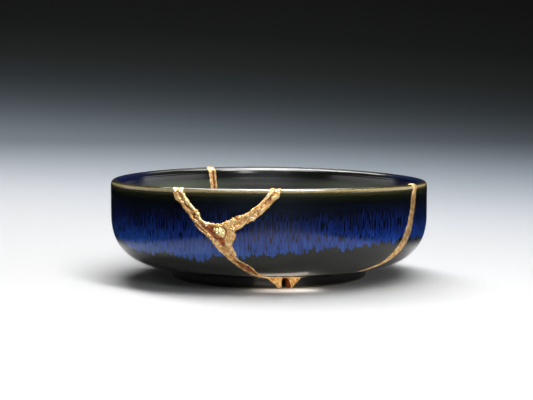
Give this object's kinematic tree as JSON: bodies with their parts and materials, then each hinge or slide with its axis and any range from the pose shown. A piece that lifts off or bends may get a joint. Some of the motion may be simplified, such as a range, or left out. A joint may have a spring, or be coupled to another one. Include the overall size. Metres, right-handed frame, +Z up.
{
  "type": "kintsugi dish",
  "caption": "Low round glazed stoneware dish on a foot ring, broken and mended with raised gold lacquer seams that run over the rim, down the wall and through the foot.",
  "frame": {"origin": "centre of the dish on the plane that its foot ring stands on", "axes": "+Z up through the middle of the dish, -Y towards the side with the Y-shaped repair"},
  "size_m": [0.1648, 0.1653, 0.0525],
  "materials": {
    "iron_glaze": "glossy dark iron glaze with blue streaks and a tan rim",
    "gold_lacquer": "satin gold powder on lacquer, finely crinkled"
  },
  "bodies": {
    "root": {"front_shard": "iron_glaze", "left_shard": "iron_glaze", "right_shard": "iron_glaze", "back_shard": "iron_glaze", "gold_repair": "gold_lacquer"}
  },
  "joints": []
}
